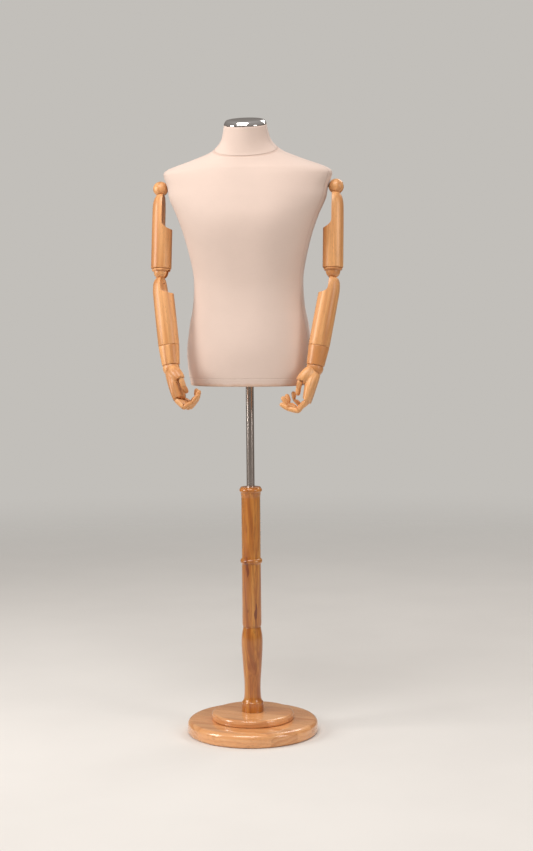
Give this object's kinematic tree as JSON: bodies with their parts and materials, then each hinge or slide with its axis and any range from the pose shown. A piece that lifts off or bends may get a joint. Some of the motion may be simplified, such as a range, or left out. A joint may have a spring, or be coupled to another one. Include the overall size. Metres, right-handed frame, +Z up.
{
  "type": "tailor's dress form with jointed arms",
  "caption": "Cloth-covered male half torso with jointed wooden arms and hands, on a steel pole that slides in a turned wooden post on a stepped round base.",
  "frame": {"origin": "Middle of the round base's flat underside, on the floor.", "axes": "+Z up along the pole. The torso faces -Y. +X is the form's own left side. The torso and arms span X."},
  "size_m": [0.5196, 0.36, 1.6783],
  "materials": {
    "cover_cloth": "matte",
    "shell_composite": "matte",
    "polished_chrome": "polished",
    "brushed_steel": "satin",
    "black_plastic": "satin",
    "arm_wood": "satin",
    "base_wood": "gloss",
    "post_wood": "gloss",
    "board_wood": "matte"
  },
  "bodies": {
    "stand": {"base_lower_disc": "base_wood", "base_upper_disc": "base_wood", "base_bolt": "brushed_steel", "post_lower": "post_wood", "post_upper": "post_wood"},
    "pole": {"pole": "brushed_steel"},
    "height_screw": {"height_knob": "black_plastic"},
    "torso": {"torso_shell": "shell_composite", "fabric_cover": "cover_cloth", "bottom_board": "board_wood", "pole_socket": "brushed_steel", "neck_cap": "polished_chrome", "left_arm_mount": "brushed_steel", "right_arm_mount": "brushed_steel"},
    "left_shoulder": {"left_shoulder_ball": "arm_wood", "left_shoulder_pin": "brushed_steel"},
    "left_upper_arm": {"left_upper_arm": "arm_wood"},
    "left_elbow": {"left_elbow_ball": "arm_wood", "left_elbow_pin": "brushed_steel"},
    "left_forearm": {"left_forearm": "arm_wood"},
    "left_cuff": {"left_wrist_cuff": "arm_wood"},
    "left_wrist": {"left_wrist_disc": "arm_wood"},
    "left_hand": {"left_palm": "arm_wood"},
    "left_index_proximal": {"left_index_proximal": "arm_wood"},
    "left_index_middle": {"left_index_middle": "arm_wood"},
    "left_index_distal": {"left_index_distal": "arm_wood"},
    "left_middle_proximal": {"left_middle_proximal": "arm_wood"},
    "left_middle_middle": {"left_middle_middle": "arm_wood"},
    "left_middle_distal": {"left_middle_distal": "arm_wood"},
    "left_ring_proximal": {"left_ring_proximal": "arm_wood"},
    "left_ring_middle": {"left_ring_middle": "arm_wood"},
    "left_ring_distal": {"left_ring_distal": "arm_wood"},
    "left_little_proximal": {"left_little_proximal": "arm_wood"},
    "left_little_middle": {"left_little_middle": "arm_wood"},
    "left_little_distal": {"left_little_distal": "arm_wood"},
    "left_thumb_proximal": {"left_thumb_proximal": "arm_wood"},
    "left_thumb_distal": {"left_thumb_distal": "arm_wood"},
    "right_shoulder": {"right_shoulder_ball": "arm_wood", "right_shoulder_pin": "brushed_steel"},
    "right_upper_arm": {"right_upper_arm": "arm_wood"},
    "right_elbow": {"right_elbow_ball": "arm_wood", "right_elbow_pin": "brushed_steel"},
    "right_forearm": {"right_forearm": "arm_wood"},
    "right_cuff": {"right_wrist_cuff": "arm_wood"},
    "right_wrist": {"right_wrist_disc": "arm_wood"},
    "right_hand": {"right_palm": "arm_wood"},
    "right_index_proximal": {"right_index_proximal": "arm_wood"},
    "right_index_middle": {"right_index_middle": "arm_wood"},
    "right_index_distal": {"right_index_distal": "arm_wood"},
    "right_middle_proximal": {"right_middle_proximal": "arm_wood"},
    "right_middle_middle": {"right_middle_middle": "arm_wood"},
    "right_middle_distal": {"right_middle_distal": "arm_wood"},
    "right_ring_proximal": {"right_ring_proximal": "arm_wood"},
    "right_ring_middle": {"right_ring_middle": "arm_wood"},
    "right_ring_distal": {"right_ring_distal": "arm_wood"},
    "right_little_proximal": {"right_little_proximal": "arm_wood"},
    "right_little_middle": {"right_little_middle": "arm_wood"},
    "right_little_distal": {"right_little_distal": "arm_wood"},
    "right_thumb_proximal": {"right_thumb_proximal": "arm_wood"},
    "right_thumb_distal": {"right_thumb_distal": "arm_wood"}
  },
  "joints": [
    {"name": "pole_height", "type": "slide", "parent": "stand", "child": "pole", "axis": [0, 0, 1], "range_m": [-0.21, 0.2]},
    {"name": "torso_turn", "type": "hinge", "parent": "pole", "child": "torso", "pos_m": [0, 0, 0.962], "axis": [0, 0, 1], "continuous": true},
    {"name": "height_screw_turn", "type": "hinge", "parent": "stand", "child": "height_screw", "pos_m": [0, 0.03, 0.668], "axis": [0, 1, 0], "range_deg": [-360, 90]},
    {"name": "left_shoulder_swing", "type": "hinge", "parent": "torso", "child": "left_shoulder", "pos_m": [0.239, 0, 1.4915], "axis": [-1, 0, 0], "range_deg": [-4, 130]},
    {"name": "left_shoulder_raise", "type": "hinge", "parent": "left_shoulder", "child": "left_upper_arm", "pos_m": [0.239, 0, 1.4915], "axis": [0, -0.9877, 0.1564], "range_deg": [0, 90]},
    {"name": "left_elbow_twist", "type": "hinge", "parent": "left_upper_arm", "child": "left_elbow", "pos_m": [0.2323, -0.03582, 1.26532], "axis": [0, 0.1564, 0.9877], "range_deg": [-20, 90]},
    {"name": "left_elbow_bend", "type": "hinge", "parent": "left_elbow", "child": "left_forearm", "pos_m": [0.2323, -0.03582, 1.26532], "axis": [0, 0.9877, -0.1564], "range_deg": [-9.9, 2.5]},
    {"name": "left_cuff_twist", "type": "hinge", "parent": "left_forearm", "child": "left_cuff", "pos_m": [0.19731, -0.06718, 1.06732], "axis": [0.1719, 0.1541, 0.973], "range_deg": [-42, 90]},
    {"name": "left_wrist_twist", "type": "hinge", "parent": "left_cuff", "child": "left_wrist", "pos_m": [0.187, -0.07643, 1.00894], "axis": [0.1719, 0.1541, 0.973], "range_deg": [-42, 60]},
    {"name": "left_wrist_bend", "type": "hinge", "parent": "left_wrist", "child": "left_hand", "pos_m": [0.187, -0.07643, 1.00894], "axis": [0, 0.9877, -0.1564], "range_deg": [-11, 14]},
    {"name": "left_index_proximal_bend", "type": "hinge", "parent": "left_hand", "child": "left_index_proximal", "pos_m": [0.16646, -0.11811, 0.92475], "axis": [0, 0.9877, -0.1564], "range_deg": [-24, 21]},
    {"name": "left_index_middle_bend", "type": "hinge", "parent": "left_index_proximal", "child": "left_index_middle", "pos_m": [0.14664, -0.12224, 0.89868], "axis": [0, 0.9877, -0.1564], "range_deg": [-66, 20]},
    {"name": "left_index_distal_bend", "type": "hinge", "parent": "left_index_middle", "child": "left_index_distal", "pos_m": [0.11838, -0.12123, 0.90507], "axis": [0, 0.9877, -0.1564], "range_deg": [-20, 16]},
    {"name": "left_middle_proximal_bend", "type": "hinge", "parent": "left_hand", "child": "left_middle_proximal", "pos_m": [0.16646, -0.09984, 0.92185], "axis": [0, 0.9877, -0.1564], "range_deg": [-34, 14]},
    {"name": "left_middle_middle_bend", "type": "hinge", "parent": "left_middle_proximal", "child": "left_middle_middle", "pos_m": [0.1409, -0.10358, 0.89823], "axis": [0, 0.9877, -0.1564], "range_deg": [-74, 12]},
    {"name": "left_middle_distal_bend", "type": "hinge", "parent": "left_middle_middle", "child": "left_middle_distal", "pos_m": [0.1143, -0.10109, 0.91395], "axis": [0, 0.9877, -0.1564], "range_deg": [-28, 8]},
    {"name": "left_ring_proximal_bend", "type": "hinge", "parent": "left_hand", "child": "left_ring_proximal", "pos_m": [0.16646, -0.08177, 0.91899], "axis": [0, 0.9877, -0.1564], "range_deg": [-40, 10]},
    {"name": "left_ring_middle_bend", "type": "hinge", "parent": "left_ring_proximal", "child": "left_ring_middle", "pos_m": [0.14014, -0.08488, 0.89933], "axis": [0, 0.9877, -0.1564], "range_deg": [-78, 8]},
    {"name": "left_ring_distal_bend", "type": "hinge", "parent": "left_ring_middle", "child": "left_ring_distal", "pos_m": [0.11822, -0.08191, 0.91808], "axis": [0, 0.9877, -0.1564], "range_deg": [-30, 6]},
    {"name": "left_little_proximal_bend", "type": "hinge", "parent": "left_hand", "child": "left_little_proximal", "pos_m": [0.16824, -0.06336, 0.92397], "axis": [0, 0.9877, -0.1564], "range_deg": [-44, 8]},
    {"name": "left_little_middle_bend", "type": "hinge", "parent": "left_little_proximal", "child": "left_little_middle", "pos_m": [0.14563, -0.06567, 0.90941], "axis": [0, 0.9877, -0.1564], "range_deg": [-80, 6]},
    {"name": "left_little_distal_bend", "type": "hinge", "parent": "left_little_middle", "child": "left_little_distal", "pos_m": [0.12991, -0.06304, 0.92599], "axis": [0, 0.9877, -0.1564], "range_deg": [-32, 4]},
    {"name": "left_thumb_proximal_bend", "type": "hinge", "parent": "left_hand", "child": "left_thumb_proximal", "pos_m": [0.15059, -0.10771, 0.97767], "axis": [0.9748, -0.0349, -0.2205], "range_deg": [-20, 18]},
    {"name": "left_thumb_distal_bend", "type": "hinge", "parent": "left_thumb_proximal", "child": "left_thumb_distal", "pos_m": [0.14598, -0.10343, 0.95659], "axis": [0.9748, -0.0349, -0.2205], "range_deg": [-14, 36]},
    {"name": "right_shoulder_swing", "type": "hinge", "parent": "torso", "child": "right_shoulder", "pos_m": [-0.239, 0, 1.4915], "axis": [-1, 0, 0], "range_deg": [-4, 130]},
    {"name": "right_shoulder_raise", "type": "hinge", "parent": "right_shoulder", "child": "right_upper_arm", "pos_m": [-0.239, 0, 1.4915], "axis": [0, 0.9833, -0.1822], "range_deg": [0, 90]},
    {"name": "right_elbow_twist", "type": "hinge", "parent": "right_upper_arm", "child": "right_elbow", "pos_m": [-0.2323, -0.04173, 1.26633], "axis": [0, -0.1822, -0.9833], "range_deg": [-75, 90]},
    {"name": "right_elbow_bend", "type": "hinge", "parent": "right_elbow", "child": "right_forearm", "pos_m": [-0.2323, -0.04173, 1.26633], "axis": [-0.2079, -0.9618, 0.1783], "range_deg": [-7.8, 6]},
    {"name": "right_cuff_twist", "type": "hinge", "parent": "right_forearm", "child": "right_cuff", "pos_m": [-0.20528, -0.08412, 1.06914], "axis": [0.1327, -0.2083, -0.969], "range_deg": [-90, 90]},
    {"name": "right_wrist_twist", "type": "hinge", "parent": "right_cuff", "child": "right_wrist", "pos_m": [-0.19732, -0.09662, 1.011], "axis": [0.1327, -0.2083, -0.969], "range_deg": [-60, 60]},
    {"name": "right_wrist_bend", "type": "hinge", "parent": "right_wrist", "child": "right_hand", "pos_m": [-0.19732, -0.09662, 1.011], "axis": [-0.2079, -0.9618, 0.1783], "range_deg": [-17.5, 14.5]},
    {"name": "right_index_proximal_bend", "type": "hinge", "parent": "right_hand", "child": "right_index_proximal", "pos_m": [-0.17638, -0.14515, 0.93066], "axis": [-0.2079, -0.9618, 0.1783], "range_deg": [-30, 15]},
    {"name": "right_index_middle_bend", "type": "hinge", "parent": "right_index_proximal", "child": "right_index_middle", "pos_m": [-0.15266, -0.15418, 0.90957], "axis": [-0.2079, -0.9618, 0.1783], "range_deg": [-74, 12]},
    {"name": "right_index_distal_bend", "type": "hinge", "parent": "right_index_middle", "child": "right_index_distal", "pos_m": [-0.12842, -0.1565, 0.92533], "axis": [-0.2079, -0.9618, 0.1783], "range_deg": [-18, 18]},
    {"name": "right_middle_proximal_bend", "type": "hinge", "parent": "right_hand", "child": "right_middle_proximal", "pos_m": [-0.17253, -0.12735, 0.92736], "axis": [-0.2079, -0.9618, 0.1783], "range_deg": [-36, 12]},
    {"name": "right_middle_middle_bend", "type": "hinge", "parent": "right_middle_proximal", "child": "right_middle_middle", "pos_m": [-0.14509, -0.1369, 0.90786], "axis": [-0.2079, -0.9618, 0.1783], "range_deg": [-80, 6]},
    {"name": "right_middle_distal_bend", "type": "hinge", "parent": "right_middle_middle", "child": "right_middle_distal", "pos_m": [-0.12302, -0.13764, 0.92962], "axis": [-0.2079, -0.9618, 0.1783], "range_deg": [-26, 10]},
    {"name": "right_ring_proximal_bend", "type": "hinge", "parent": "right_hand", "child": "right_ring_proximal", "pos_m": [-0.16873, -0.10975, 0.9241], "axis": [-0.2079, -0.9618, 0.1783], "range_deg": [-41, 9]},
    {"name": "right_ring_middle_bend", "type": "hinge", "parent": "right_ring_proximal", "child": "right_ring_middle", "pos_m": [-0.14127, -0.11865, 0.90811], "axis": [-0.2079, -0.9618, 0.1783], "range_deg": [-82, 4]},
    {"name": "right_ring_distal_bend", "type": "hinge", "parent": "right_ring_middle", "child": "right_ring_distal", "pos_m": [-0.12315, -0.11837, 0.93075], "axis": [-0.2079, -0.9618, 0.1783], "range_deg": [-30, 6]},
    {"name": "right_little_proximal_bend", "type": "hinge", "parent": "right_hand", "child": "right_little_proximal", "pos_m": [-0.16744, -0.09114, 0.92842], "axis": [-0.2079, -0.9618, 0.1783], "range_deg": [-45, 7]},
    {"name": "right_little_middle_bend", "type": "hinge", "parent": "right_little_proximal", "child": "right_little_middle", "pos_m": [-0.14406, -0.09831, 0.91698], "axis": [-0.2079, -0.9618, 0.1783], "range_deg": [-82, 4]},
    {"name": "right_little_distal_bend", "type": "hinge", "parent": "right_little_middle", "child": "right_little_distal", "pos_m": [-0.13093, -0.09766, 0.93586], "axis": [-0.2079, -0.9618, 0.1783], "range_deg": [-32, 4]},
    {"name": "right_thumb_proximal_bend", "type": "hinge", "parent": "right_hand", "child": "right_thumb_proximal", "pos_m": [-0.16454, -0.1356, 0.98479], "axis": [0.9339, -0.141, 0.3286], "range_deg": [-20, 18]},
    {"name": "right_thumb_distal_bend", "type": "hinge", "parent": "right_thumb_proximal", "child": "right_thumb_distal", "pos_m": [-0.15696, -0.13321, 0.96427], "axis": [0.9339, -0.141, 0.3286], "range_deg": [-12, 38]}
  ]
}
